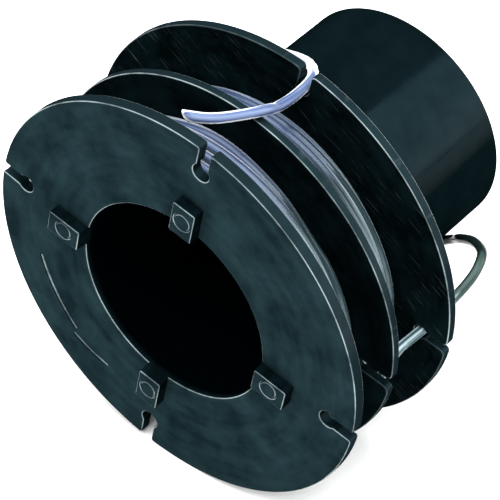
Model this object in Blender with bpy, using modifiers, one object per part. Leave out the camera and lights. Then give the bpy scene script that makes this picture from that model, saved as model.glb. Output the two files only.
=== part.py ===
"""Twin-line grass-trimmer spool, lying on the rims of its two large flanges.

World axes: X to the right, Y along the spool's axis from the drive face to the
tap knob, Z up. The origin is on the floor, under the middle of the moulding.

The moulding is worked out in its own axes, the spool axes: X to the right, Y
down, Z from the drive face (Z = 0) towards the tap knob. Angles on the flanges
are in degrees, counter-clockwise from +X, as seen when facing the drive face.
"""
import math

import bmesh
import bpy
import numpy as np
from mathutils import Matrix, Vector

MM = 0.001

# Driving dimensions, in metres.
LINE_DIAMETER = 2.0 * MM
FLANGE_RADIUS = 43.0 * MM
MIDDLE_FLANGE_RADIUS = 40.7 * MM
FRONT_FLANGE_THICKNESS = 2.5 * MM
MIDDLE_FLANGE_THICKNESS = 1.8 * MM
REAR_FLANGE_THICKNESS = 2.0 * MM
FRONT_CHANNEL_WIDTH = 11.5 * MM
REAR_CHANNEL_WIDTH = 12.0 * MM
HUB_RADIUS = 24.0 * MM
BORE_RADIUS = 21.4 * MM
LENGTH = 68.8 * MM
END_WALL = 2.4 * MM

# Small radii on the moulding.
RIM_ROUNDING = 0.5 * MM
ROOT_CHAMFER = 0.6 * MM
KNOB_ROUNDING = 0.8 * MM
BORE_CHAMFER = 0.3 * MM

# Notches that hold the line, by their angles: four keyholes in each large flange
# and two plain slots in the middle one. They are in line to a degree or two.
NOTCH_ANGLES = {
    "front": (78.6, 167.2, 259.4, 350.1),
    "middle": (170.6, 350.6),
    "rear": (78.5, 169.0, 259.0, 350.9),
}
# From the rim to the middle of each notch's round end. The rear flange's top one is shallow.
NOTCH_DEPTHS = {
    "front": (5.7 * MM, 5.7 * MM, 5.7 * MM, 5.7 * MM),
    "middle": (6.6 * MM, 6.6 * MM),
    "rear": (4.6 * MM, 6.0 * MM, 6.0 * MM, 6.0 * MM),
}
NOTCH_END_RADII = {"front": 1.85 * MM, "middle": 1.25 * MM, "rear": 1.4 * MM}
# Half the slot's width. The rear flange's right one is narrow, so that it grips the line.
SLOT_HALF_WIDTHS = {
    "front": (1.24 * MM, 1.24 * MM, 1.24 * MM, 1.24 * MM),
    "middle": (1.24 * MM, 1.24 * MM),
    "rear": (1.24 * MM, 1.24 * MM, 1.24 * MM, 0.85 * MM),
}
# Half the mouth's width at the rim, and how far in the mouth starts to widen.
NOTCH_MOUTHS = {
    "front": (1.5 * MM, 1.0 * MM),
    "middle": (2.1 * MM, 1.5 * MM),
    "rear": (1.8 * MM, 1.1 * MM),
}

# Four drive lugs round the bore, a quarter turn apart.
LUG_COUNT = 4
LUG_PHASE = 79.0
LUG_LENGTH = 7.4 * MM
LUG_WIDTH = 5.1 * MM
LUG_HEIGHT = 2.5 * MM
LUG_SET_BACK = 0.2 * MM
LUG_ROUNDING = 0.2 * MM
EJECTOR_MARK_RADIUS = 1.7 * MM
EJECTOR_MARK_DEPTH = 0.2 * MM

# Two shallow grooves on the drive face: an arc and a nearly straight one.
GROOVE_RADIUS = 0.25 * MM
GROOVE_CIRCLE = 34.4 * MM
GROOVE_START = -166.0
GROOVE_END = -137.0
SECOND_GROOVE = (
    (-26.0 * MM, -24.9 * MM),
    (-21.8 * MM, -27.1 * MM),
    (-17.3 * MM, -28.6 * MM),
)

# A hole through the hub in each channel takes the inner end of that line.
ANCHOR_RADIUS = 1.3 * MM
ANCHOR_ANGLE = 34.0
ANCHOR_FROM_FLANGE = 2.0 * MM

# The windings: closed rings of each hank of line.
FRONT_WINDING_RADIUS = 33.0 * MM
REAR_WINDING_RADIUS = 32.6 * MM
GAP = 0.3 * MM

# Mesh fineness.
TURN_STEPS = 96
WINDING_STEPS = 64
TUBE_SPACING = 4.0 * MM
SAMPLES_PER_SPAN = 40

# Places along the spool axis.
FRONT_FLANGE_REAR = FRONT_FLANGE_THICKNESS
MIDDLE_FLANGE_FRONT = FRONT_FLANGE_REAR + FRONT_CHANNEL_WIDTH
MIDDLE_FLANGE_REAR = MIDDLE_FLANGE_FRONT + MIDDLE_FLANGE_THICKNESS
REAR_FLANGE_FRONT = MIDDLE_FLANGE_REAR + REAR_CHANNEL_WIDTH
REAR_FLANGE_REAR = REAR_FLANGE_FRONT + REAR_FLANGE_THICKNESS

# The rims' facets lie flat on the floor, so the axis is a facet's height up.
AXIS_HEIGHT = FLANGE_RADIUS * math.cos(math.pi / TURN_STEPS)
MIDDLE_OF_LENGTH = (LENGTH - LUG_HEIGHT) / 2.0

# Routes of the two free ends, in millimetres: to the right of the axis, behind
# the drive face, above the axis. Each starts beside the outer turn it leaves.
FRONT_TAIL_ROUTE = (
    (-23.0, 11.6, 25.6),
    (-26.7, 10.6, 22.4),
    (-30.5, 9.0, 18.3),
    (-33.5, 7.9, 14.2),
    (-35.6, 8.1, 10.5),
    (-36.7, 10.0, 7.6),
    (-37.1, 13.0, 6.3),
    (-37.1, 16.5, 6.1),
    (-37.1, 20.0, 6.1),
    (-37.1, 23.4, 5.7),
)
REAR_TAIL_ROUTE = (
    (23.7, 17.4, -24.5),
    (31.0, 17.3, -16.8),
    (35.1, 17.7, -10.6),
    (36.0, 18.4, -8.0),
    (36.2, 20.0, -6.3),
    (36.3, 22.1, -5.5),
    (36.3, 25.2, -5.7),
    (36.4, 29.5, -5.8),
    (37.1, 34.8, -4.2),
    (37.9, 41.6, -1.2),
    (36.3, 46.9, -0.2),
    (31.5, 51.5, -3.4),
    (24.9, 56.5, -10.1),
    (19.4, 60.6, -16.7),
    (8.0, 62.3, -26.0),
    (-6.5, 60.0, -26.9),
    (-19.2, 54.5, -19.4),
    (-26.2, 48.0, -6.0),
    (-25.8, 41.5, 9.5),
    (-20.5, 37.0, 21.5),
    (-13.2, 35.2, 28.4),
    (-6.4, 35.2, 33.9),
    (-0.2, 34.9, 36.5),
    (4.1, 33.8, 38.0),
    (6.3, 32.6, 38.3),
    (7.6, 30.7, 38.3),
    (7.8, 29.6, 38.2),
    (7.9, 29.0, 38.1),
    (7.6, 25.2, 37.4),
    (7.9, 20.4, 38.5),
    (8.8, 17.2, 40.7),
    (8.7, 15.4, 41.5),
    (8.3, 14.2, 41.7),
    (5.8, 10.0, 42.1),
    (3.7, 7.1, 42.5),
    (0.2, 4.7, 42.6),
)


def clear_scene():
    for old in list(bpy.data.objects):
        bpy.data.objects.remove(old, do_unlink=True)


def make_collection(name):
    collection = bpy.data.collections.new(name)
    bpy.context.scene.collection.children.link(collection)
    return collection


def make_material(name, colour, roughness):
    material = bpy.data.materials.new(name)
    material.use_nodes = True
    shader = material.node_tree.nodes["Principled BSDF"]
    shader.inputs["Base Color"].default_value = (*colour, 1.0)
    shader.inputs["Roughness"].default_value = roughness
    shader.inputs["Metallic"].default_value = 0.0
    return material


def make_spool_frame(collection):
    """The empty that carries the spool axes."""
    frame = bpy.data.objects.new("spool_frame", None)
    frame.location = (0.0, -MIDDLE_OF_LENGTH, AXIS_HEIGHT)
    frame.rotation_euler = (-math.pi / 2.0, 0.0, 0.0)
    collection.objects.link(frame)
    return frame


def add_object(name, data, collection, frame):
    piece = bpy.data.objects.new(name, data)
    collection.objects.link(piece)
    piece.parent = frame
    return piece


def make_cutter(piece):
    piece.display_type = "WIRE"
    piece.hide_render = True


def on_flange(radius, angle, along):
    """A point in spool axes from a radius, an angle seen from the front, a depth."""
    turn = math.radians(angle)
    return Vector((radius * math.cos(turn), -radius * math.sin(turn), along))


def turn_to(angle):
    """The rotation that brings a shape on +X to an angle seen from the front."""
    return (0.0, 0.0, -math.radians(angle))


def corner(centre_r, centre_z, radius, start, end, steps):
    """Points of a rounded corner, as (radius, along) pairs."""
    points = []
    for step in range(steps + 1):
        turn = math.radians(start + (end - start) * step / steps)
        points.append((centre_r + radius * math.cos(turn), centre_z + radius * math.sin(turn)))
    return points


def flange_outline(front, rear, radius, root_rear, root_front):
    """A flange from its root on the rear side, round the rim, to the front root."""
    rounding = RIM_ROUNDING
    points = []
    if root_rear:
        points += [(HUB_RADIUS, rear + ROOT_CHAMFER), (HUB_RADIUS + ROOT_CHAMFER, rear)]
    points += corner(radius - rounding, rear - rounding, rounding, 90.0, 0.0, 2)
    points += corner(radius - rounding, front + rounding, rounding, 0.0, -90.0, 2)
    if root_front:
        points += [(HUB_RADIUS + ROOT_CHAMFER, front), (HUB_RADIUS, front - ROOT_CHAMFER)]
    return points


def turned(name, outline, steps, collection, frame, closed):
    """A profile turned about the spool's axis, with a facet facing straight down."""
    mesh = bpy.data.meshes.new(name)
    vertices = [(radius, 0.0, along) for radius, along in outline]
    edges = [(index, index + 1) for index in range(len(outline) - 1)]
    if closed:
        edges.append((len(outline) - 1, 0))
    mesh.from_pydata(vertices, edges, [])
    piece = add_object(name, mesh, collection, frame)
    piece.rotation_euler = (0.0, 0.0, math.pi / steps)
    screw = piece.modifiers.new("turn", "SCREW")
    screw.axis = "Z"
    screw.steps = steps
    screw.render_steps = steps
    screw.use_merge_vertices = True
    screw.merge_threshold = 0.00001
    screw.use_smooth_shade = True
    return piece


def curve_to_mesh(curve_object):
    """The curve's solid as a mesh object with its caps welded on."""
    name = curve_object.name
    depsgraph = bpy.context.evaluated_depsgraph_get()
    mesh = bpy.data.meshes.new_from_object(curve_object.evaluated_get(depsgraph))
    work = bmesh.new()
    work.from_mesh(mesh)
    bmesh.ops.remove_doubles(work, verts=work.verts, dist=0.000001)
    bmesh.ops.recalc_face_normals(work, faces=work.faces)
    work.to_mesh(mesh)
    work.free()
    piece = bpy.data.objects.new(name, mesh)
    for collection in curve_object.users_collection:
        collection.objects.link(piece)
    piece.parent = curve_object.parent
    piece.location = curve_object.location
    piece.rotation_euler = curve_object.rotation_euler
    bpy.data.objects.remove(curve_object, do_unlink=True)
    piece.name = name
    return piece


def extruded(name, outline, low, high, collection, frame):
    """A closed flat outline, extruded along the spool's axis."""
    curve = bpy.data.curves.new(name, "CURVE")
    curve.dimensions = "2D"
    curve.fill_mode = "BOTH"
    curve.extrude = (high - low) / 2.0
    spline = curve.splines.new("POLY")
    spline.points.add(len(outline) - 1)
    for point, (across, up) in zip(spline.points, outline):
        point.co = (across, up, 0.0, 1.0)
    spline.use_cyclic_u = True
    piece = add_object(name, curve, collection, frame)
    piece.location = (0.0, 0.0, (low + high) / 2.0)
    return curve_to_mesh(piece)


def tube(name, points, radius, collection, frame):
    """A round solid along a run of points given in the frame's axes."""
    curve = bpy.data.curves.new(name, "CURVE")
    curve.dimensions = "3D"
    curve.bevel_depth = radius
    curve.bevel_resolution = 2
    curve.use_fill_caps = True
    spline = curve.splines.new("POLY")
    spline.points.add(len(points) - 1)
    for point, place in zip(spline.points, points):
        point.co = (*place, 1.0)
    return add_object(name, curve, collection, frame)


def notch_outline(flange, index, rim_radius):
    """The notch on +X: its round end, a slot and a mouth that runs out past the rim."""
    end_middle = rim_radius - NOTCH_DEPTHS[flange][index]
    end_radius = NOTCH_END_RADII[flange]
    half_width = SLOT_HALF_WIDTHS[flange][index]
    mouth, mouth_depth = NOTCH_MOUTHS[flange]
    half_opening = math.degrees(math.asin(half_width / end_radius))
    outline = corner(end_middle, 0.0, end_radius, half_opening, 360.0 - half_opening, 12)
    outline += [
        (rim_radius - mouth_depth, -half_width),
        (rim_radius, -mouth),
        (rim_radius + MM, -mouth),
        (rim_radius + MM, mouth),
        (rim_radius, mouth),
        (rim_radius - mouth_depth, half_width),
    ]
    return outline


def cut_notches(cutters, frame):
    flanges = {
        "front": (0.0, FRONT_FLANGE_REAR, FLANGE_RADIUS),
        "middle": (MIDDLE_FLANGE_FRONT, MIDDLE_FLANGE_REAR, MIDDLE_FLANGE_RADIUS),
        "rear": (REAR_FLANGE_FRONT, REAR_FLANGE_REAR, FLANGE_RADIUS),
    }
    for flange, (low, high, radius) in flanges.items():
        for index, angle in enumerate(NOTCH_ANGLES[flange]):
            name = f"cut_{flange}_notch_{index}"
            outline = notch_outline(flange, index, radius)
            notch = extruded(name, outline, low - MM, high + MM, cutters, frame)
            notch.rotation_euler = turn_to(angle)
            make_cutter(notch)


def cylinder_mesh(name, radius, depth, segments):
    mesh = bpy.data.meshes.new(name)
    work = bmesh.new()
    bmesh.ops.create_cone(
        work, cap_ends=True, segments=segments, radius1=radius, radius2=radius, depth=depth)
    work.to_mesh(mesh)
    work.free()
    return mesh


def lug_mesh():
    """A lug on +X, standing out from the drive face, its edges slightly rounded."""
    mesh = bpy.data.meshes.new("lug")
    work = bmesh.new()
    bmesh.ops.create_cube(work, size=1.0)
    root = 0.6 * MM
    size = Matrix.Diagonal((LUG_LENGTH, LUG_WIDTH, LUG_HEIGHT + root, 1.0))
    middle = BORE_RADIUS + LUG_SET_BACK + LUG_LENGTH / 2.0
    place = Matrix.Translation((middle, 0.0, (root - LUG_HEIGHT) / 2.0))
    bmesh.ops.transform(work, matrix=place @ size, verts=work.verts)
    outer_edges = [edge for edge in work.edges if min(v.co.z for v in edge.verts) < 0.0]
    bmesh.ops.bevel(work, geom=outer_edges, offset=LUG_ROUNDING, segments=1, affect="EDGES")
    work.to_mesh(mesh)
    work.free()
    return mesh


def add_lugs(joined, cutters, frame):
    shape = lug_mesh()
    mark = cylinder_mesh("ejector_mark", EJECTOR_MARK_RADIUS, 2.0 * EJECTOR_MARK_DEPTH, 24)
    middle = BORE_RADIUS + LUG_SET_BACK + LUG_LENGTH / 2.0
    for index in range(LUG_COUNT):
        angle = LUG_PHASE + index * 360.0 / LUG_COUNT
        lug = add_object(f"join_lug_{index}", shape, joined, frame)
        lug.rotation_euler = turn_to(angle)
        make_cutter(lug)
        recess = add_object(f"cut_ejector_mark_{index}", mark, cutters, frame)
        recess.location = on_flange(middle, angle, -LUG_HEIGHT)
        make_cutter(recess)


def cut_grooves(cutters, frame):
    steps = 14
    arc = []
    for step in range(steps + 1):
        angle = GROOVE_START + (GROOVE_END - GROOVE_START) * step / steps
        arc.append(on_flange(GROOVE_CIRCLE, angle, 0.0))
    straight = [Vector((across, -up, 0.0)) for across, up in SECOND_GROOVE]
    for name, points in (("cut_groove_arc", arc), ("cut_groove_straight", straight)):
        groove = curve_to_mesh(tube(name, points, GROOVE_RADIUS, cutters, frame))
        make_cutter(groove)


def cut_anchor_holes(cutters, frame):
    wall = HUB_RADIUS - BORE_RADIUS
    drill = cylinder_mesh("anchor_drill", ANCHOR_RADIUS, 3.0 * wall, 16)
    places = {
        "front": FRONT_FLANGE_REAR + ANCHOR_FROM_FLANGE,
        "rear": MIDDLE_FLANGE_REAR + ANCHOR_FROM_FLANGE,
    }
    for name, along in places.items():
        hole = add_object(f"cut_{name}_anchor_hole", drill, cutters, frame)
        hole.location = on_flange(BORE_RADIUS + wall / 2.0, ANCHOR_ANGLE, along)
        hole.rotation_euler = (0.0, math.pi / 2.0, -math.radians(ANCHOR_ANGLE))
        make_cutter(hole)


def body_outline():
    """The moulding's profile: down the outside from the knob, then up the bore."""
    points = [(0.0, LENGTH)]
    points += corner(HUB_RADIUS - KNOB_ROUNDING, LENGTH - KNOB_ROUNDING, KNOB_ROUNDING, 90.0, 0.0, 3)
    points += flange_outline(REAR_FLANGE_FRONT, REAR_FLANGE_REAR, FLANGE_RADIUS, True, True)
    points += flange_outline(
        MIDDLE_FLANGE_FRONT, MIDDLE_FLANGE_REAR, MIDDLE_FLANGE_RADIUS, True, True)
    points += flange_outline(0.0, FRONT_FLANGE_REAR, FLANGE_RADIUS, True, False)
    points += [(BORE_RADIUS + BORE_CHAMFER, 0.0), (BORE_RADIUS, BORE_CHAMFER)]
    points += [(BORE_RADIUS, LENGTH - END_WALL - ROOT_CHAMFER)]
    points += [(BORE_RADIUS - ROOT_CHAMFER, LENGTH - END_WALL), (0.0, LENGTH - END_WALL)]
    return points


def make_spool_body(parts, cutters, joined, frame, plastic):
    body = turned("spool_body", body_outline(), TURN_STEPS, parts, frame, False)
    body.data.materials.append(plastic)
    add_lugs(joined, cutters, frame)
    cut_notches(cutters, frame)
    cut_grooves(cutters, frame)
    cut_anchor_holes(cutters, frame)
    for operation, collection in (("UNION", joined), ("DIFFERENCE", cutters)):
        boolean = body.modifiers.new(operation.lower(), "BOOLEAN")
        boolean.operation = operation
        boolean.operand_type = "COLLECTION"
        boolean.collection = collection
        boolean.solver = "EXACT"
    return body


def make_winding(name, low, high, radius, parts, frame, nylon):
    """A hank of line as one closed ring that fills its channel to a radius."""
    shoulder = LINE_DIAMETER / 2.0
    inner = HUB_RADIUS + GAP
    front = low + GAP
    rear = high - GAP
    outline = [(inner, rear - ROOT_CHAMFER), (inner + ROOT_CHAMFER, rear)]
    outline += corner(radius - shoulder, rear - shoulder, shoulder, 90.0, 0.0, 2)
    outline += corner(radius - shoulder, front + shoulder, shoulder, 0.0, -90.0, 2)
    outline += [(inner + ROOT_CHAMFER, front), (inner, front + ROOT_CHAMFER)]
    ring = turned(name, outline, WINDING_STEPS, parts, frame, True)
    ring.data.materials.append(nylon)
    return ring


def route_point(place):
    """A route's millimetres in spool axes."""
    right, behind, above = place
    return np.array((right, -above, behind)) * MM


def smooth_route(route, spacing):
    """Points at an even spacing along a smooth curve through the route's points."""
    given = [route_point(place) for place in route]
    ends = [2.0 * given[0] - given[1], 2.0 * given[-1] - given[-2]]
    control = [ends[0], *given, ends[1]]
    dense = [given[0]]
    for index in range(1, len(control) - 2):
        before, start, end, after = control[index - 1:index + 3]
        for step in range(1, SAMPLES_PER_SPAN + 1):
            t = step / SAMPLES_PER_SPAN
            dense.append(0.5 * (
                2.0 * start
                + (end - before) * t
                + (2.0 * before - 5.0 * start + 4.0 * end - after) * t ** 2
                + (3.0 * start - before - 3.0 * end + after) * t ** 3))
    dense = np.array(dense)
    steps = np.linalg.norm(np.diff(dense, axis=0), axis=1)
    travelled = np.concatenate(([0.0], np.cumsum(steps)))
    count = max(2, round(travelled[-1] / spacing) + 1)
    wanted = np.linspace(0.0, travelled[-1], count)
    return [Vector([np.interp(w, travelled, dense[:, axis]) for axis in range(3)]) for w in wanted]


def make_tail(name, route, parts, frame, nylon):
    """The free stretch of a line, from the winding to its cut end."""
    points = smooth_route(route, TUBE_SPACING)
    tail = tube(name, points, LINE_DIAMETER / 2.0, parts, frame)
    tail.data.materials.append(nylon)
    return tail


def main():
    clear_scene()
    parts = make_collection("trimmer_line_spool")
    cutters = make_collection("cutters")
    joined = make_collection("joined_lugs")
    frame = make_spool_frame(parts)
    plastic = make_material("black_plastic", (0.012, 0.016, 0.018), 0.45)
    nylon = make_material("clear_nylon", (0.62, 0.66, 0.74), 0.25)
    make_spool_body(parts, cutters, joined, frame, plastic)
    make_winding(
        "front_line_winding", FRONT_FLANGE_REAR, MIDDLE_FLANGE_FRONT,
        FRONT_WINDING_RADIUS, parts, frame, nylon)
    make_winding(
        "rear_line_winding", MIDDLE_FLANGE_REAR, REAR_FLANGE_FRONT,
        REAR_WINDING_RADIUS, parts, frame, nylon)
    make_tail("front_line_tail", FRONT_TAIL_ROUTE, parts, frame, nylon)
    make_tail("rear_line_tail", REAR_TAIL_ROUTE, parts, frame, nylon)
    bpy.context.view_layer.update()


main()
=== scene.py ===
"""Visual model of a twin-line grass-trimmer spool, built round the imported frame.

Places are given as the part gives them: to the right of the spool's axis, behind
its drive face and above the axis, in millimetres. Angles on the flanges are in
degrees, counter-clockwise from the right, seen when facing the drive face.
"""

import math
from collections import namedtuple

import bmesh
import bpy
import numpy as np
from mathutils import Matrix, Vector


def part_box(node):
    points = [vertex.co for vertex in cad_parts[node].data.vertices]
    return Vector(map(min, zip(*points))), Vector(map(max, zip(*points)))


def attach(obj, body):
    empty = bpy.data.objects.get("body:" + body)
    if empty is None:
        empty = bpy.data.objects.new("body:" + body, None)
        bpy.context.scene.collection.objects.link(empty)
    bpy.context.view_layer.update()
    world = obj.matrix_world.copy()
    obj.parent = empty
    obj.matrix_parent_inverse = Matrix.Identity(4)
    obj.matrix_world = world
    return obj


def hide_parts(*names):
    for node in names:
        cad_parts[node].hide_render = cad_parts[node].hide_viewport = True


MM = 0.001
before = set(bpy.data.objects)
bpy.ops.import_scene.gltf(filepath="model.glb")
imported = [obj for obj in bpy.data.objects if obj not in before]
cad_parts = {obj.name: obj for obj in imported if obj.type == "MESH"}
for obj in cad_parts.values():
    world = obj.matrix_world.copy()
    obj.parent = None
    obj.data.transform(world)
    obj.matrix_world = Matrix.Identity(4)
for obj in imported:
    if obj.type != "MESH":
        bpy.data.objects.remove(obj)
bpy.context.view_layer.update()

# Driving sizes of the moulding, in millimetres. For each flange: front, rear and radius.
LINE = 2.0
FLANGES = {
    "front": (0.0, 2.5, 43.0),
    "middle": (14.0, 15.8, 40.7),
    "rear": (27.8, 29.8, 43.0),
}
KNOB_RADIUS = 24.0
BARREL_RADIUS = 24.0
BORE_RADIUS = 21.4
LENGTH = 68.8
END_WALL = 2.4
EDGE_ROUNDING = 0.35
KNOB_ROUNDING = 0.8
KNOB_ROOT_ROUNDING = 0.8
HUB_ROOT_ROUNDING = 0.6

# For each flange: the radius of its notches' round ends, the rounding of their mouths, and
# each notch's angle, half its slot's width, and how far in the middle of its round end is.
NOTCHES = {
    "front": (1.85, 0.7, (
        (78.6, 1.25, 5.7), (167.2, 1.25, 5.7), (259.4, 1.25, 5.7), (350.1, 1.25, 5.7))),
    "middle": (1.25, 1.6, (
        (170.6, 1.24, 6.6), (350.6, 1.24, 6.6))),
    "rear": (1.4, 1.2, (
        (78.5, 1.24, 4.6), (169.0, 1.24, 6.0), (259.0, 1.24, 6.0), (350.9, 0.85, 6.0))),
}
# Where a slot meets its round end, a keyhole's corner is rounded more than a plain slot's.
# A notch is a keyhole when its round end is wider than its slot by this share.
KEYHOLE_NECK = 0.35
PLAIN_NECK = 0.15
KEYHOLE_WIDENING = 1.3

LUGS = 4
LUG_PHASE = 79.0
LUG_HEIGHT = 2.5
LUG_LENGTH = 7.4
LUG_WIDTH = 5.1
LUG_START = 21.6
LUG_ROUNDING = 0.3
LUG_ROOT = 1.0
LUG_MIDDLE = LUG_START + LUG_LENGTH / 2.0
MARK_RADIUS = 1.85
MARK_WIDTH = 0.25

# Two shallow grooves on the drive face: an arc, and a nearly straight one across and up.
GROOVE_WIDTH = 0.45
ARC_GROOVE_RADIUS = 34.4
ARC_GROOVE_SPAN = (-166.0, -137.0)
SECOND_GROOVE = ((-26.0, -24.9), (-21.8, -27.1), (-17.3, -28.6))

ANCHOR_ANGLE = 34.0
ANCHOR_HOLE = 1.3
# The radius, and the angle past the anchor hole, as a line comes up to its first turn.
ANCHOR_RISE = ((22.5, -4.0), (22.9, -1.5), (23.55, 2.5), (24.15, 7.0), (24.65, 12.0))
# The drill's way through the hub's wall starts and ends clear of the plastic.
ANCHOR_DRILL = ((20.4, -16.0), (21.4, -10.5), *ANCHOR_RISE, (25.6, 22.0))

# Mesh fineness.
BARREL_STEPS = 192
LINE_SIDES = 14
GROOVE_SIDES = 10
MARK_STEPS = 48
MARK_SIDES = 8
EDGE_STEPS = 4
ROUND_END_STEPS = 28
RIM_STEP = 1.5
CORNER_STEPS = 6
SPAN_STEPS = 24

lowest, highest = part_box("spool_body")
DRIVE_FACE = lowest.y / MM + LUG_HEIGHT
AXIS = (lowest.z + highest.z) / 2.0 / MM


def place(right, behind, above):
    """A point of the world, in metres, from the part's millimetres."""
    return Vector((right, DRIVE_FACE + behind, AXIS + above)) * MM


def on_turn(radius, angle, behind):
    """A point of the world, from a radius and an angle about the spool's axis."""
    turn = math.radians(angle)
    return place(radius * math.cos(turn), behind, radius * math.sin(turn))


def put_in_scene(name, data):
    thing = bpy.data.objects.new(name, data)
    bpy.context.scene.collection.objects.link(thing)
    return thing


# ---------------------------------------------------------------- camera

CAMERA_AZIMUTH = 39.78
CAMERA_ELEVATION = 44.06
CAMERA_DISTANCE = 523.1
CAMERA_LENS = 207.17
LOOKED_AT = place(10.32, 10.0, 12.38)


def make_camera():
    turn = math.radians(CAMERA_AZIMUTH)
    tilt = math.radians(CAMERA_ELEVATION)
    back = Vector((
        math.sin(turn) * math.cos(tilt),
        -math.cos(turn) * math.cos(tilt),
        math.sin(tilt)))
    data = bpy.data.cameras.new("camera")
    data.lens = CAMERA_LENS
    data.sensor_width = 36.0
    data.clip_start = 0.01
    data.clip_end = 20.0
    camera = put_in_scene("camera", data)
    camera.location = LOOKED_AT + back * CAMERA_DISTANCE * MM
    camera.rotation_mode = "QUATERNION"
    camera.rotation_quaternion = (-back).to_track_quat("-Z", "Y")
    bpy.context.scene.camera = camera


make_camera()


# ---------------------------------------------------------------- the two lines

# Routes of the two free ends. Each starts beside the outer turn it leaves.
FRONT_TAIL_ROUTE = (
    (-23.0, 11.6, 25.6),
    (-26.7, 10.6, 22.4),
    (-30.5, 9.0, 18.3),
    (-33.5, 7.9, 14.2),
    (-35.6, 8.1, 10.5),
    (-36.7, 10.0, 7.6),
    (-37.1, 13.0, 6.3),
    (-37.1, 16.5, 6.1),
    (-37.1, 20.0, 6.1),
    (-37.1, 23.4, 5.7),
)
REAR_TAIL_ROUTE = (
    (23.7, 17.4, -24.5),
    (31.0, 17.3, -16.8),
    (35.1, 17.7, -10.6),
    (36.0, 18.4, -8.0),
    (36.2, 20.0, -6.3),
    (36.3, 22.1, -5.5),
    (36.3, 25.2, -5.7),
    (36.4, 29.5, -5.8),
    (37.1, 34.8, -4.2),
    (37.9, 41.6, -1.2),
    (36.3, 46.9, -0.2),
    (31.5, 51.5, -3.4),
    (24.9, 56.5, -10.1),
    (19.4, 60.6, -16.7),
    (8.0, 62.3, -26.0),
    (-6.5, 60.0, -26.9),
    (-19.2, 54.5, -19.4),
    (-26.2, 48.0, -6.0),
    (-25.8, 41.5, 9.5),
    (-20.5, 37.0, 21.5),
    (-13.2, 35.2, 28.4),
    (-6.4, 35.2, 33.9),
    (-0.2, 34.9, 36.5),
    (4.1, 33.8, 38.0),
    (6.3, 32.6, 38.3),
    (7.6, 30.7, 38.3),
    (7.8, 29.6, 38.2),
    (7.9, 29.0, 38.1),
    (7.6, 25.2, 37.4),
    (7.9, 20.4, 38.5),
    (8.8, 17.2, 40.7),
    (8.7, 15.4, 41.5),
    (8.3, 14.2, 41.7),
    (5.8, 10.0, 42.1),
    (3.7, 7.1, 42.5),
    (0.2, 4.7, 42.6),
)

TURNS = 18
# A line's middle stays this far from the flanges beside it.
SIDE_ROOM = 1.1
# The guide's travel in a turn, how long it waits at a side in turns, and how far it wanders.
Laying = namedtuple("Laying", "pitch dwell wander")
FRONT_LAYING = Laying(2.613, 0.102, 0.30)
REAR_LAYING = Laying(2.088, 0.028, 0.17)
# The wander is the product of a quick and a slow sway, in radians per turn.
QUICK_SWAY = 1.7
SLOW_SWAY = 0.61
SWAY_PHASE = 2.1

# A winding is worked out at so many stations in a turn, and smoothed over a few of them.
STATIONS = 72
SMOOTHED_OVER = 13
# Stations left out beside the anchor hole and before the free end, and those that blend into it.
FIRST_STATIONS = 4
LAST_STATIONS = 8
BLEND_STATIONS = 13
BLEND_EVERY = 6
TAIL_SPACING = 1.4 * MM

# The cut end slants, and is spread a little, both as shares of the line's radius.
CUT_SLOPE = 0.8
CUT_SPREAD = 0.35
SPREAD_BEFORE_CUT = 0.12


def traverse(turns, low, high, laying):
    """Where the guide is along the channel after so many turns, low side first."""
    per_layer = (high - low) / laying.pitch
    layer, within = divmod(turns, per_layer + laying.dwell)
    share = min(1.0, within / per_layer)
    if int(layer) % 2:
        share = 1.0 - share
    return low + (high - low) * share


def smoothed(values):
    kernel = np.hanning(SMOOTHED_OVER)
    kernel /= kernel.sum()
    return np.convolve(np.pad(values, SMOOTHED_OVER // 2, mode="edge"), kernel, mode="valid")


def lay_turns(turns, low, high, laying):
    """A hank of turns, each resting on what was laid before it at its angle."""
    count = round(turns * STATIONS)
    base = BARREL_RADIUS + LINE / 2.0
    along = np.array([traverse(i / STATIONS, low, high, laying) for i in range(count + 1)])
    done = np.arange(count + 1) / STATIONS
    sway = laying.wander * np.sin(QUICK_SWAY * done + SWAY_PHASE) * np.sin(SLOW_SWAY * done)
    along = smoothed(np.clip(along + sway, low, high))
    radius = np.full(count + 1, base)
    for i in range(count + 1):
        earlier = np.arange(i - STATIONS, -1, -STATIONS)
        if len(earlier) == 0:
            continue
        apart = np.abs(along[earlier] - along[i])
        near = apart < LINE
        if near.any():
            rest = radius[earlier][near] + np.sqrt(LINE ** 2 - apart[near] ** 2)
            radius[i] = max(base, rest.max())
    radius = smoothed(radius)
    points = []
    for i in range(count + 1):
        points.append(on_turn(radius[i], ANCHOR_ANGLE + 360.0 * i / STATIONS, along[i]))
    return points


def smooth_route(points, spacing):
    """Points at an even spacing along a smooth curve through the given ones."""
    given = [np.array(point) for point in points]
    control = [2.0 * given[0] - given[1], *given, 2.0 * given[-1] - given[-2]]
    dense = [given[0]]
    for index in range(1, len(control) - 2):
        before, start, end, after = control[index - 1:index + 3]
        for step in range(1, SPAN_STEPS + 1):
            t = step / SPAN_STEPS
            dense.append(0.5 * (
                2.0 * start
                + (end - before) * t
                + (2.0 * before - 5.0 * start + 4.0 * end - after) * t ** 2
                + (3.0 * start - before - 3.0 * end + after) * t ** 3))
    dense = np.array(dense)
    steps = np.linalg.norm(np.diff(dense, axis=0), axis=1)
    travelled = np.concatenate(([0.0], np.cumsum(steps)))
    count = max(2, round(travelled[-1] / spacing) + 1)
    wanted = np.linspace(0.0, travelled[-1], count)
    return [Vector([np.interp(w, travelled, dense[:, axis]) for axis in range(3)]) for w in wanted]


def cut_direction(tangent):
    """The way across the line in which its cut end runs on furthest."""
    up = Vector((0.0, 0.0, 1.0))
    across = up - tangent * up.dot(tangent)
    return across.normalized()


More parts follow.
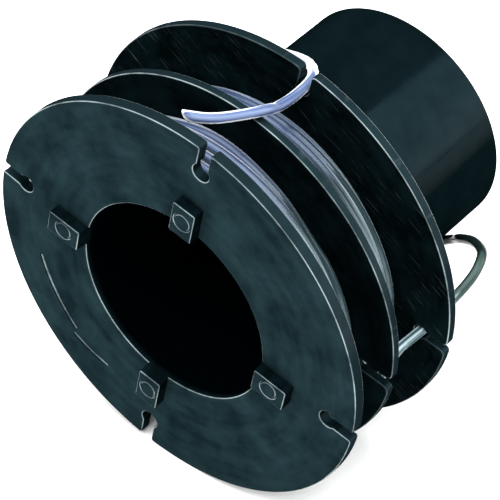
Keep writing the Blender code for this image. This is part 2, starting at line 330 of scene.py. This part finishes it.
def cut_shift(out, tangent, radius, is_last):
    """How far the cut moves a point on the line's last or last but one ring."""
    towards = cut_direction(tangent)
    rise = out.dot(towards)
    spread = CUT_SPREAD if is_last else SPREAD_BEFORE_CUT
    shift = towards * (spread * radius * max(0.0, rise))
    if is_last:
        shift += tangent * (CUT_SLOPE * radius * rise)
    return shift


def tube_mesh(name, points, radius, sides, is_cut):
    """A round line along the points; its far end may be cut off at a slope."""
    places = [Vector(point) for point in points]
    last = len(places) - 1
    travelled = [0.0]
    for a, b in zip(places, places[1:]):
        travelled.append(travelled[-1] + (b - a).length / MM)
    tangents = []
    for i in range(last + 1):
        tangents.append((places[min(i + 1, last)] - places[max(i - 1, 0)]).normalized())
    work = bmesh.new()
    side = tangents[0].orthogonal().normalized()
    rings = []
    for i, (centre, tangent) in enumerate(zip(places, tangents)):
        if i:
            side = tangents[i - 1].rotation_difference(tangent) @ side
            side = (side - tangent * side.dot(tangent)).normalized()
        other = tangent.cross(side)
        ring = []
        for k in range(sides):
            swing = 2.0 * math.pi * k / sides
            out = side * math.cos(swing) + other * math.sin(swing)
            offset = out * radius
            if is_cut and i >= last - 1:
                offset += cut_shift(out, tangent, radius, i == last)
            ring.append(work.verts.new(centre + offset))
        rings.append(ring)
    # The unrolled surface runs in millimetres along the line and in turns round it.
    unrolled = work.loops.layers.uv.new("unrolled")
    for i, (a, b) in enumerate(zip(rings, rings[1:])):
        for k in range(sides):
            face = work.faces.new((a[k], a[(k + 1) % sides], b[(k + 1) % sides], b[k]))
            face.smooth = True
            corners = ((i, k), (i, k + 1), (i + 1, k + 1), (i + 1, k))
            for loop, (station, step) in zip(face.loops, corners):
                loop[unrolled].uv = (travelled[station], step / sides)
    for end in (list(reversed(rings[0])), rings[-1]):
        work.faces.new(end).material_index = 1
    work.normal_update()
    mesh = bpy.data.meshes.new(name)
    work.to_mesh(mesh)
    work.free()
    return mesh


def part_turn(route):
    """The share of a turn from the anchor hole to where the free end leaves the winding."""
    right, behind, above = route[0]
    return (math.degrees(math.atan2(above, right)) - ANCHOR_ANGLE) % 360.0 / 360.0


def make_line(name, channel, laying, route, nodes):
    """One line: up through the hub's wall, round the hub, and out along its free end's route."""
    low = FLANGES[channel[0]][1] + SIDE_ROOM
    high = FLANGES[channel[1]][0] - SIDE_ROOM
    start = [on_turn(radius, ANCHOR_ANGLE + turn, low) for radius, turn in ANCHOR_RISE]
    coil = lay_turns(TURNS + part_turn(route), low, high, laying)[FIRST_STATIONS:-LAST_STATIONS]
    tail = [place(*point) for point in route]
    run = smooth_route([*coil[-BLEND_STATIONS::BLEND_EVERY], *tail], TAIL_SPACING)
    points = [*start, *coil[:-BLEND_STATIONS], *run]
    piece = put_in_scene(name, tube_mesh(name, points, LINE / 2.0 * MM, LINE_SIDES, True))
    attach(piece, "root")
    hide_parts(*nodes)
    return piece


front_line = make_line(
    "front_line", ("front", "middle"), FRONT_LAYING, FRONT_TAIL_ROUTE,
    ("front_line_winding", "front_line_tail"))
rear_line = make_line(
    "rear_line", ("middle", "rear"), REAR_LAYING, REAR_TAIL_ROUTE,
    ("rear_line_winding", "rear_line_tail"))


# ---------------------------------------------------------------- the moulding

def arc(centre_r, centre_t, radius, start, end, steps):
    """Points of an arc about a centre, between two angles."""
    points = []
    for step in range(steps + 1):
        angle = math.radians(start + (end - start) * step / steps)
        points.append((centre_r + radius * math.cos(angle), centre_t + radius * math.sin(angle)))
    return points


def trimmed(points, amount, at_end):
    """A run of points with a length taken off one end."""
    run = [Vector(point) for point in (reversed(points) if at_end else points)]
    left = amount
    while len(run) > 1 and (run[1] - run[0]).length <= left:
        left -= (run[1] - run[0]).length
        run.pop(0)
    step = run[1] - run[0]
    run[0] = run[0] + step * (left / step.length)
    return list(reversed(run)) if at_end else run


def join_rounded(runs, cuts):
    """One closed outline from runs of points, with its corners rounded.

    The length cuts[i] is taken off each side of the corner after run i.
    """
    shaped = []
    for i, run in enumerate(runs):
        shaped.append(trimmed(trimmed(run, cuts[i - 1], False), cuts[i], True))
    outline = []
    for i, run in enumerate(runs):
        outline += shaped[i]
        start = shaped[i][-1]
        corner = Vector(run[-1])
        end = shaped[(i + 1) % len(runs)][0]
        for step in range(1, CORNER_STEPS):
            t = step / CORNER_STEPS
            outline.append(start * (1 - t) ** 2 + corner * 2 * t * (1 - t) + end * t ** 2)
    return outline


def flange_outline(name):
    """The flange's rim with its notches, counter-clockwise."""
    radius = FLANGES[name][2]
    end_radius, mouth, notches = NOTCHES[name]
    runs = []
    cuts = []
    for index, (at, slot, depth) in enumerate(notches):
        following, following_slot, _ = notches[(index + 1) % len(notches)]
        centre = radius - depth
        half_opening = math.degrees(math.asin(slot / end_radius))
        rim = math.sqrt(radius ** 2 - slot ** 2)
        neck = centre + math.sqrt(end_radius ** 2 - slot ** 2)
        turn = Matrix.Rotation(math.radians(at), 2)
        for shape in (
                ((rim, -slot), (neck, -slot)),
                arc(centre, 0.0, end_radius, -half_opening, -360.0 + half_opening, ROUND_END_STEPS),
                ((neck, slot), (rim, slot))):
            runs.append([turn @ Vector(point) for point in shape])
        start = at + math.degrees(math.asin(slot / radius))
        end = at + (following - at) % 360.0 - math.degrees(math.asin(following_slot / radius))
        runs.append(arc(0.0, 0.0, radius, start, end, round((end - start) / RIM_STEP)))
        is_keyhole = end_radius > KEYHOLE_WIDENING * slot
        neck_cut = KEYHOLE_NECK if is_keyhole else PLAIN_NECK
        cuts += [neck_cut, neck_cut, mouth, mouth]
    return join_rounded(runs, cuts)


def outward(points):
    """The outward normal at each point of a closed counter-clockwise outline."""
    normals = []
    count = len(points)
    for i in range(count):
        before = (points[i] - points[i - 1]).normalized()
        after = (points[(i + 1) % count] - points[i]).normalized()
        along = (before + after).normalized()
        normals.append(Vector((along.y, -along.x)))
    return normals


def edge_profile(front, rear, rounding):
    """The plate's edge as (inset, along) pairs, from the front face round to the rear face."""
    profile = []
    for step in range(EDGE_STEPS + 1):
        angle = math.radians(90.0 * step / EDGE_STEPS)
        inset = rounding * (1 - math.sin(angle))
        profile.append((inset, front + rounding * (1 - math.cos(angle))))
    for step in range(EDGE_STEPS + 1):
        angle = math.radians(90.0 * step / EDGE_STEPS)
        inset = rounding * (1 - math.cos(angle))
        profile.append((inset, rear - rounding * (1 - math.sin(angle))))
    return profile


def edge_wall(work, points, normals, profile, is_hole):
    """The wall of a plate along one closed outline; gives back its front and rear edges."""
    rings = []
    for inset, along in profile:
        ring = []
        for point, normal in zip(points, normals):
            spot = point - normal * inset
            ring.append(work.verts.new((spot.x, along, spot.y)))
        rings.append(ring)
    count = len(points)
    for a, b in zip(rings, rings[1:]):
        for k in range(count):
            corners = (a[k], b[k], b[(k + 1) % count], a[(k + 1) % count])
            work.faces.new(tuple(reversed(corners)) if is_hole else corners)
    borders = []
    for ring in (rings[0], rings[-1]):
        borders.append([work.edges.get((ring[k], ring[(k + 1) % count])) for k in range(count)])
    return borders


def plate(name, outline, hole_radius, front, rear):
    """A flat plate across the axis, with a round hole, all its edges rounded."""
    last_angle = 360.0 - 360.0 / BARREL_STEPS
    hole = [Vector(p) for p in arc(0.0, 0.0, hole_radius, 0.0, last_angle, BARREL_STEPS - 1)]
    profile = edge_profile(front, rear, EDGE_ROUNDING)
    work = bmesh.new()
    outer = edge_wall(work, outline, outward(outline), profile, False)
    inner = edge_wall(work, hole, [-normal for normal in outward(hole)], profile, True)
    for outer_border, inner_border in zip(outer, inner):
        bmesh.ops.triangle_fill(work, use_beauty=True, edges=outer_border + inner_border)
    bmesh.ops.recalc_face_normals(work, faces=work.faces)
    return finish_piece(name, work)


def finish_piece(name, work):
    """The work, in millimetres from the middle of the drive face, as an object in its place."""
    mesh = bpy.data.meshes.new(name)
    bmesh.ops.scale(work, vec=(MM, MM, MM), verts=work.verts)
    bmesh.ops.translate(work, vec=place(0.0, 0.0, 0.0), verts=work.verts)
    work.to_mesh(mesh)
    work.free()
    return put_in_scene(name, mesh)


def turned(name, outline, steps):
    """A closed solid turned about the axis; the outline starts and ends on the axis."""
    work = bmesh.new()
    rings = []
    for radius, along in outline:
        count = steps if radius else 1
        ring = []
        for k in range(count):
            angle = 2.0 * math.pi * k / steps
            ring.append(work.verts.new((radius * math.cos(angle), along, radius * math.sin(angle))))
        rings.append(ring)
    for a, b in zip(rings, rings[1:]):
        for k in range(steps):
            n = (k + 1) % steps
            if len(a) == 1:
                work.faces.new((a[0], b[k], b[n]))
            elif len(b) == 1:
                work.faces.new((a[k], b[0], a[n]))
            else:
                work.faces.new((a[k], b[k], b[n], a[n]))
    bmesh.ops.recalc_face_normals(work, faces=work.faces)
    return finish_piece(name, work)


def barrel_outline():
    """The hub and knob in one: outside from the knob's end to the drive face, then the bore.

    Between two root roundings the outline runs inside a flange, where it isn't seen.
    """
    rear = FLANGES["rear"][1]
    knob_root = KNOB_RADIUS + KNOB_ROOT_ROUNDING
    hub_root = BARREL_RADIUS + HUB_ROOT_ROUNDING
    bore = BORE_RADIUS + 0.1
    bore_end = LENGTH - END_WALL
    points = [(0.0, LENGTH)]
    points += arc(KNOB_RADIUS - KNOB_ROUNDING, LENGTH - KNOB_ROUNDING, KNOB_ROUNDING, 90.0, 0.0, 8)
    points += arc(knob_root, rear + KNOB_ROOT_ROUNDING, KNOB_ROOT_ROUNDING, 180.0, 270.0, 5)
    points += [(knob_root, rear - 0.5), (hub_root, rear - 1.0)]
    for near, far in (("rear", "middle"), ("middle", "front")):
        top = FLANGES[near][0]
        bottom = FLANGES[far][1]
        points += arc(hub_root, top - HUB_ROOT_ROUNDING, HUB_ROOT_ROUNDING, 90.0, 180.0, 4)
        points += arc(hub_root, bottom + HUB_ROOT_ROUNDING, HUB_ROOT_ROUNDING, 180.0, 270.0, 4)
        points += [(hub_root, bottom - 0.8)]
    points += [(bore, FLANGES["front"][1] - 0.9)]
    points += [(bore, bore_end - 0.6), (BORE_RADIUS - 0.5, bore_end), (0.0, bore_end)]
    return points


def lug(index):
    """A drive lug, its inner end slanting down to the bore's edge, its edges rounded."""
    work = bmesh.new()
    bmesh.ops.create_cube(work, size=1.0)
    bmesh.ops.scale(work, vec=(LUG_LENGTH, LUG_HEIGHT + LUG_ROOT, LUG_WIDTH), verts=work.verts)
    middle = (LUG_MIDDLE, (LUG_ROOT - LUG_HEIGHT) / 2.0, 0.0)
    bmesh.ops.translate(work, vec=middle, verts=work.verts)
    for vert in work.verts:
        if vert.co.y > 0.0 and vert.co.x < LUG_MIDDLE:
            vert.co.x = BORE_RADIUS - 0.25
    outer = [edge for edge in work.edges if min(v.co.y for v in edge.verts) < 0.0]
    bmesh.ops.bevel(
        work, geom=outer, offset=LUG_ROUNDING, segments=3, profile=0.5, affect="EDGES")
    turn = Matrix.Rotation(-math.radians(LUG_PHASE + index * 360.0 / LUGS), 3, "Y")
    bmesh.ops.rotate(work, cent=(0.0, 0.0, 0.0), matrix=turn, verts=work.verts)
    return finish_piece(f"lug_{index}", work)


def ring_mark(index):
    """The cutter for the ring that the ejector pin pressed into a lug's top."""
    turn = math.radians(LUG_PHASE + index * 360.0 / LUGS)
    centre = Vector((LUG_MIDDLE * math.cos(turn), -LUG_HEIGHT, LUG_MIDDLE * math.sin(turn)))
    work = bmesh.new()
    rings = []
    for i in range(MARK_STEPS):
        around = math.tau * i / MARK_STEPS
        out = Vector((math.cos(around), 0.0, math.sin(around)))
        ring = []
        for k in range(MARK_SIDES):
            swing = math.tau * (k + 0.5) / MARK_SIDES
            reach = MARK_RADIUS + MARK_WIDTH * math.cos(swing)
            above = Vector((0.0, MARK_WIDTH * math.sin(swing), 0.0))
            ring.append(work.verts.new(centre + out * reach + above))
        rings.append(ring)
    for ring, after in zip(rings, rings[1:] + rings[:1]):
        for k in range(MARK_SIDES):
            n = (k + 1) % MARK_SIDES
            work.faces.new((ring[k], ring[n], after[n], after[k]))
    bmesh.ops.recalc_face_normals(work, faces=work.faces)
    return finish_piece(f"mark_{index}", work)


def round_cutter(name, points, radius):
    return put_in_scene(name, tube_mesh(name, points, radius * MM, GROOVE_SIDES, False))


def groove_cutters():
    arc_points = [on_turn(ARC_GROOVE_RADIUS, a, 0.0) for a in np.linspace(*ARC_GROOVE_SPAN, 40)]
    second = smooth_route([place(across, 0.0, up) for across, up in SECOND_GROOVE], 0.6 * MM)
    return [
        round_cutter("arc_groove", arc_points, GROOVE_WIDTH),
        round_cutter("second_groove", second, GROOVE_WIDTH),
    ]


def anchor_cutters():
    """The slanting bores through the hub's wall, along the way that each line comes up."""
    cutters = []
    for name in ("front", "middle"):
        along = FLANGES[name][1] + SIDE_ROOM
        way = [on_turn(radius, ANCHOR_ANGLE + turn, along) for radius, turn in ANCHOR_DRILL]
        cutters.append(round_cutter(f"anchor_behind_{name}", way, ANCHOR_HOLE))
    return cutters


def combine(body, others, operation):
    for other in others:
        modifier = body.modifiers.new("combine", "BOOLEAN")
        modifier.operation = operation
        modifier.solver = "EXACT"
        modifier.object = other
    depsgraph = bpy.context.evaluated_depsgraph_get()
    mesh = bpy.data.meshes.new_from_object(body.evaluated_get(depsgraph))
    body.modifiers.clear()
    body.data = mesh
    for other in others:
        bpy.data.objects.remove(other, do_unlink=True)


def make_body():
    body = turned("spool", barrel_outline(), BARREL_STEPS)
    plates = []
    for name, (front, rear, _) in FLANGES.items():
        # Only the front plate's hole is seen; the others' end inside the hub's wall.
        hole = BORE_RADIUS if name == "front" else BORE_RADIUS + 0.9
        plates.append(plate(f"{name}_flange", flange_outline(name), hole, front, rear))
    combine(body, plates + [lug(index) for index in range(LUGS)], "UNION")
    marks = [ring_mark(index) for index in range(LUGS)]
    combine(body, marks + groove_cutters() + anchor_cutters(), "DIFFERENCE")
    body.data.shade_smooth()
    body.data.set_sharp_from_angle(angle=math.radians(32.0))
    weighted = body.modifiers.new("weighted", "WEIGHTED_NORMAL")
    weighted.keep_sharp = True
    weighted.mode = "FACE_AREA"
    weighted.weight = 60
    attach(body, "root")
    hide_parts("spool_body")
    return body


spool = make_body()


# ---------------------------------------------------------------- materials

# Where a point of the surface is: its object coordinates, and in millimetres how far it is to
# the right of the axis, above it, behind the drive face, and away from the axis.
Spot = namedtuple("Spot", "coordinates across up along radius")


class Look:
    """A material and its Principled shader, with short ways to add the nodes used here."""

    def __init__(self, name):
        self.material = bpy.data.materials.new(name)
        self.material.use_nodes = True
        self.nodes = self.material.node_tree.nodes
        self.shader = self.nodes["Principled BSDF"]

    def fill(self, socket, value):
        """Gives a socket a number, a colour or another node's output."""
        if isinstance(value, (int, float)):
            socket.default_value = value
        elif isinstance(value, tuple):
            socket.default_value = (*value, 1.0)
        else:
            self.material.node_tree.links.new(value, socket)

    def surface(self, name, value):
        self.fill(self.shader.inputs[name], value)

    def calc(self, operation, *values):
        node = self.nodes.new("ShaderNodeMath")
        node.operation = operation
        for socket, value in zip(node.inputs, values):
            self.fill(socket, value)
        return node.outputs["Value"]

    def ranged(self, value, low, high, to_low, to_high):
        """The value's place between low and high, as a number between to_low and to_high."""
        node = self.nodes.new("ShaderNodeMapRange")
        node.clamp = True
        ends = {"From Min": low, "From Max": high, "To Min": to_low, "To Max": to_high}
        for name, number in {"Value": value, **ends}.items():
            self.fill(node.inputs[name], number)
        return node.outputs["Result"]

    def ramp(self, value, low, high, low_colour, high_colour):
        node = self.nodes.new("ShaderNodeValToRGB")
        stops = ((low, low_colour), (high, high_colour))
        for element, (position, colour) in zip(node.color_ramp.elements, stops):
            element.position = position
            element.color = (*colour, 1.0)
        self.fill(node.inputs["Fac"], value)
        return node.outputs["Color"]

    def mixed(self, factor, a, b):
        node = self.nodes.new("ShaderNodeMix")
        node.data_type = "RGBA"
        for name, value in (("Factor", factor), ("A", a), ("B", b)):
            self.fill(node.inputs[name], value)
        return node.outputs["Result"]

    def noise(self, vector, scale, detail, roughness=0.5):
        node = self.nodes.new("ShaderNodeTexNoise")
        settings = {"Vector": vector, "Scale": scale, "Detail": detail, "Roughness": roughness}
        for name, value in settings.items():
            self.fill(node.inputs[name], value)
        return node.outputs["Fac"]

    def stretched(self, a, b, c, scale, detail):
        """Noise over three measures of the place, each already stretched as wanted."""
        join = self.nodes.new("ShaderNodeCombineXYZ")
        for socket, value in zip(join.inputs, (a, b, c)):
            self.fill(socket, value)
        return self.noise(join.outputs["Vector"], scale, detail)

    def split(self, vector):
        node = self.nodes.new("ShaderNodeSeparateXYZ")
        self.fill(node.inputs["Vector"], vector)
        return node.outputs

    def coordinates(self, kind):
        return self.nodes.new("ShaderNodeTexCoord").outputs[kind]

    def facing(self):
        """How far the surface turns away from the eye, from 0 to 1."""
        node = self.nodes.new("ShaderNodeLayerWeight")
        node.inputs["Blend"].default_value = 0.5
        return node.outputs["Facing"]

    def spot(self):
        coordinates = self.coordinates("Object")
        parts = self.split(coordinates)
        across = self.calc("MULTIPLY", parts["X"], 1.0 / MM)
        up = self.calc("MULTIPLY_ADD", parts["Z"], 1.0 / MM, -AXIS)
        along = self.calc("MULTIPLY_ADD", parts["Y"], 1.0 / MM, -DRIVE_FACE)
        squares = self.calc("MULTIPLY_ADD", across, across, self.calc("MULTIPLY", up, up))
        return Spot(coordinates, across, up, along, self.calc("SQRT", squares))


def bore_shade_share(look, spot):
    """1 inside the bore, which is painted near black as shade and left without the painted edge
    highlights.
    """
    inside = look.ranged(spot.along, 0.5, 1.5, 0.0, 1.0)
    before_end = look.ranged(spot.along, 67.2, 67.6, 1.0, 0.0)
    near_axis = look.ranged(spot.radius, 21.6, 22.2, 1.0, 0.0)
    return look.calc("MULTIPLY", look.calc("MULTIPLY", inside, near_axis), before_end)


def edge_highlight_share(look, spot, mottle, lies_across):
    """Up to 1 on the rounded edges, which are painted pale as a highlight.

    They are the only faces that look neither along the axis nor straight away from it.
    """
    edge = look.calc("MULTIPLY", lies_across, look.calc("SUBTRACT", 1.0, lies_across))
    highlight_and_scuffs = look.ranged(edge, 0.12, 0.24, 0.0, 1.0)
    highlight_and_scuffs = look.calc("MULTIPLY", highlight_and_scuffs, look.ranged(mottle, 0.38, 0.6, 0.25, 1.0))
    # The painted highlight is weaker on the rear flange's left part.
    dimmed_left = look.calc(
        "MULTIPLY", look.ranged(spot.along, 26.0, 28.0, 0.0, 0.8),
        look.ranged(spot.across, 7.0, 10.0, 1.0, 0.0))
    highlight_and_scuffs = look.calc("MULTIPLY", highlight_and_scuffs, look.calc("SUBTRACT", 1.0, dimmed_left))
    # It is also weaker on the middle and rear flanges below their right-hand notches.
    low_flap = look.calc(
        "MULTIPLY", look.ranged(spot.along, 10.0, 12.0, 0.0, 0.85),
        look.ranged(spot.up, -7.0, -6.2, 1.0, 0.0))
    return look.calc("MULTIPLY", highlight_and_scuffs, look.calc("SUBTRACT", 1.0, low_flap))


def scuffed_share(look, spot, scuffs):
    """A little above 0 on the scratches behind the middle flange, outside the hub."""
    walls = look.calc(
        "MULTIPLY", look.ranged(spot.along, 14.0, 16.0, 0.0, 1.0),
        look.ranged(spot.radius, 24.4, 24.8, 0.0, 1.0))
    return look.calc("MULTIPLY", look.ranged(scuffs, 0.62, 0.72, 0.0, 0.06), walls)


def black_plastic():
    """Black moulding: mottled, with fine marks round the axis, glossier on the knob."""
    look = Look("black_moulded_plastic")
    calc = look.calc
    ranged = look.ranged
    spot = look.spot()
    mottle = look.noise(spot.coordinates, 130.0, 8.0, 0.62)
    rings = look.stretched(
        calc("MULTIPLY", spot.across, 0.05), calc("MULTIPLY", spot.up, 0.05),
        calc("MULTIPLY", spot.radius, 0.35), 1.6, 7.0)
    scuffs = look.stretched(
        calc("MULTIPLY_ADD", spot.across, 0.55, calc("MULTIPLY", spot.up, 0.85)),
        calc("MULTIPLY_ADD", spot.across, -0.06, calc("MULTIPLY", spot.up, 0.04)),
        calc("MULTIPLY", spot.along, 0.05), 2.2, 3.0)
    marks = calc("MULTIPLY_ADD", rings, 0.30, calc("MULTIPLY_ADD", mottle, 0.70, -0.5))
    marks = calc("MULTIPLY_ADD", marks, ranged(spot.along, 29.0, 31.0, 1.0, 0.35), 0.5)

    normal = look.split(look.nodes.new("ShaderNodeNewGeometry").outputs["Normal"])
    # 1 on a face that lies across the axis, 0 on one that runs round it.
    lies_across = calc("MULTIPLY", normal["Y"], normal["Y"])
    bore = bore_shade_share(look, spot)
    open_air = calc("SUBTRACT", 1.0, bore)
    # Painted edge highlight, together with the faint real scratches behind the middle flange.
    highlight_and_scuffs = calc(
        "MAXIMUM", edge_highlight_share(look, spot, mottle, lies_across), scuffed_share(look, spot, scuffs))
    highlight_and_scuffs = calc("MULTIPLY", highlight_and_scuffs, open_air)
    # The drive face, which is painted a lighter, lit tone of the plastic.
    lit_drive_face = calc("MULTIPLY", ranged(spot.along, 0.3, 0.8, 1.0, 0.0), lies_across)
    # The rims, which are painted a lighter tone than the hub for their lit look.
    around = calc(
        "MULTIPLY", ranged(spot.radius, 39.5, 40.2, 0.0, 1.0), calc("SUBTRACT", 1.0, lies_across))

    # Painted light and shade: one plastic in three tones, darkest on the hub, knob and flanges'
    # inner faces, lighter on the rims, lightest on the drive face.
    hub = look.ramp(marks, 0.40, 0.62, (0.0006, 0.0018, 0.0022), (0.0022, 0.0062, 0.0075))
    lit_drive_tone = look.ramp(marks, 0.38, 0.62, (0.0042, 0.0100, 0.0120), (0.0106, 0.0240, 0.0280))
    colour = look.mixed(lit_drive_face, hub, lit_drive_tone)
    colour = look.mixed(around, colour, (0.0046, 0.0100, 0.0122))
    # Painted shade: the inside of the bore is painted near black.
    colour = look.mixed(bore, colour, (0.0001, 0.0006, 0.0009))
    # Painted highlight: rounded edges are mixed towards a pale colour, a whiter reflection tint and
    # more shine; the scratches faintly so.
    look.surface("Base Color", look.mixed(highlight_and_scuffs, colour, (0.20, 0.25, 0.26)))
    look.surface("Specular Tint", look.mixed(highlight_and_scuffs, (0.22, 0.70, 0.88), (0.90, 0.98, 1.0)))

    gloss = ranged(spot.along, 29.0, 31.0, 0.40, 0.15)
    rough = calc("ADD", gloss, calc("MULTIPLY_ADD", marks, 0.30, -0.15))
    rough = calc("ADD", rough, ranged(scuffs, 0.55, 0.70, 0.0, -0.10))
    look.surface("Roughness", calc("MULTIPLY_ADD", highlight_and_scuffs, -0.08, rough))
    # The shine fades where the surface turns away from the eye, and on the drive face.
    dulled = ranged(look.facing(), 0.27, 0.41, 1.0, 0.0)
    shine = calc("MULTIPLY", ranged(marks, 0.40, 0.60, 0.04, 0.11), dulled)
    shine = calc("MULTIPLY", shine, open_air)
    shine = calc("MULTIPLY", shine, calc("MULTIPLY_ADD", lit_drive_face, -0.7, 1.0))
    look.surface("Specular IOR Level", calc("MULTIPLY_ADD", highlight_and_scuffs, 0.6, shine))

    bump = look.nodes.new("ShaderNodeBump")
    bump.inputs["Strength"].default_value = 0.2
    bump.inputs["Distance"].default_value = 0.00005
    look.fill(bump.inputs["Height"], look.noise(spot.coordinates, 900.0, 2.0))
    look.surface("Normal", bump.outputs["Normal"])
    return look.material


def line_streaks(look, round_scale):
    """Noise drawn out along a line, from its unrolled surface."""
    unrolled = look.split(look.coordinates("UV"))
    turn = look.calc("MULTIPLY", unrolled["Y"], 2.0 * math.pi)
    return look.stretched(
        look.calc("MULTIPLY", look.calc("SINE", turn), round_scale),
        look.calc("MULTIPLY", look.calc("COSINE", turn), round_scale),
        look.calc("MULTIPLY", unrolled["X"], 0.02), 1.0, 2.5)


def clear_nylon():
    """Clear line with fine draw marks.

    Its light is painted: a lit milky blue on its upper turns, a painted pale sheen at their edges,
    lighter lower turns, draw marks painted lighter as highlights, and a shaded grey behind the rear
    flange.
    """
    look = Look("clear_nylon_line")
    calc = look.calc
    ranged = look.ranged
    spot = look.spot()
    streaks = line_streaks(look, 1.5)
    free = ranged(spot.radius, 34.6, 36.2, 0.0, 1.0)
    # Behind the rear flange, where the line is painted in shade.
    behind = ranged(spot.along, 34.5, 38.0, 0.0, 1.0)
    # Painted light: the upper turns, away from the loop behind the rear flange, are painted a lit
    # milky blue.
    painted_lit_top = calc("MULTIPLY", ranged(spot.up, 25.0, 32.0, 0.0, 1.0), calc("SUBTRACT", 1.0, behind))
    # Where the free end runs away from the drive face, the painted sheen at its edges is narrower.
    running = calc(
        "MULTIPLY", ranged(spot.along, 12.5, 16.0, 0.0, 0.42),
        ranged(spot.along, 23.0, 28.0, 1.0, 0.0))
    side = ranged(calc("SUBTRACT", look.facing(), running), 0.31, 0.50, 0.0, 1.0)
    # Painted sheen: the edges of the upper turns, most on the free end, are painted near white.
    painted_sheen = calc("MULTIPLY", calc("MULTIPLY", side, painted_lit_top), calc("MULTIPLY_ADD", free, 0.75, 0.25))

    # Painted light: streak peaks are painted lighter as highlights, and the shaded lower turns are
    # painted lighter than the lit upper ones.
    shaded = look.ramp(streaks, 0.48, 0.62, (0.060, 0.110, 0.125), (0.45, 0.58, 0.62))
    lit = look.ramp(streaks, 0.50, 0.64, (0.022, 0.038, 0.044), (0.24, 0.31, 0.34))
    clear = look.mixed(ranged(spot.up, 2.0, 26.0, 0.0, 1.0), shaded, lit)
    # The painted lit milky blue of the upper turns, paler on the free end.
    free_lit_tone = look.ramp(streaks, 0.42, 0.66, (0.055, 0.085, 0.19), (0.14, 0.19, 0.32))
    wound_lit_tone = look.ramp(streaks, 0.42, 0.62, (0.016, 0.028, 0.070), (0.10, 0.14, 0.25))
    # Painted shade: behind the rear flange the line is painted a dark grey-green, darker still at
    # its edges.
    loop = look.mixed(side, (0.030, 0.055, 0.047), (0.006, 0.012, 0.012))
    colour = look.mixed(painted_lit_top, clear, look.mixed(free, wound_lit_tone, free_lit_tone))
    # The painted white sheen at the edges.
    colour = look.mixed(painted_sheen, colour, (0.93, 0.97, 1.0))
    look.surface("Base Color", look.mixed(behind, colour, loop))

    rough = calc("MULTIPLY_ADD", painted_lit_top, 0.16, ranged(streaks, 0.3, 0.7, 0.10, 0.28))
    look.surface("Roughness", rough)
    haze = ranged(streaks, 0.50, 0.64, 0.65, 0.85)
    haze = calc("MAXIMUM", haze, calc("MULTIPLY", painted_lit_top, 0.85))
    haze = calc("MAXIMUM", haze, calc("MULTIPLY", behind, 0.85))
    look.surface("Transmission Weight", calc("SUBTRACT", 1.0, haze))
    look.surface("Specular IOR Level", calc("MULTIPLY_ADD", behind, -0.2, 0.3))
    look.surface("Specular Tint", (0.78, 0.92, 1.0))
    look.surface("IOR", 1.53)
    return look.material


def cut_nylon():
    """The line's end, clouded where the cutter crushed it."""
    look = Look("cut_nylon")
    cloud = look.noise(look.coordinates("Object"), 1400.0, 2.0)
    look.surface("Base Color", look.ramp(cloud, 0.3, 0.7, (0.70, 0.76, 0.84), (0.95, 0.97, 1.0)))
    look.surface("Roughness", 0.6)
    return look.material


def dress(piece, *materials):
    piece.data.materials.clear()
    for material in materials:
        piece.data.materials.append(material)


nylon = clear_nylon()
cut = cut_nylon()
dress(spool, black_plastic())
dress(front_line, nylon, cut)
dress(rear_line, nylon, cut)


# ---------------------------------------------------------------- floor and light

def make_floor():
    mesh = bpy.data.meshes.new("floor")
    half = 3.0
    corners = [(-half, -half, 0.0), (half, -half, 0.0), (half, half, 0.0), (-half, half, 0.0)]
    mesh.from_pydata(corners, [], [(0, 1, 2, 3)])
    floor = put_in_scene("floor", mesh)
    look = Look("white_floor")
    look.surface("Base Color", (0.9, 0.9, 0.9))
    look.surface("Roughness", 0.9)
    look.surface("Specular IOR Level", 0.0)
    mesh.materials.append(look.material)


def softbox(name, location, target, width, height, power):
    data = bpy.data.lights.new(name, "AREA")
    data.shape = "RECTANGLE"
    data.size = width
    data.size_y = height
    data.energy = power
    light = put_in_scene(name, data)
    light.location = location
    direction = Vector(target) - Vector(location)
    light.rotation_euler = direction.to_track_quat("-Z", "Y").to_euler()


def make_world():
    world = bpy.data.worlds.new("studio")
    bpy.context.scene.world = world
    world.use_nodes = True
    background = world.node_tree.nodes["Background"]
    background.inputs["Color"].default_value = (1.0, 1.0, 1.0, 1.0)
    background.inputs["Strength"].default_value = 0.2


make_floor()
make_world()
softbox("overhead", (0.0, -0.45, 1.3), (0.0, -0.45, 0.0), 1.8, 1.8, 82.0)
softbox("side", (0.73, 0.67, 0.57), (0.0, 0.0, 0.04), 0.8, 1.2, 12.5)
bpy.context.scene.view_settings.view_transform = "Standard"
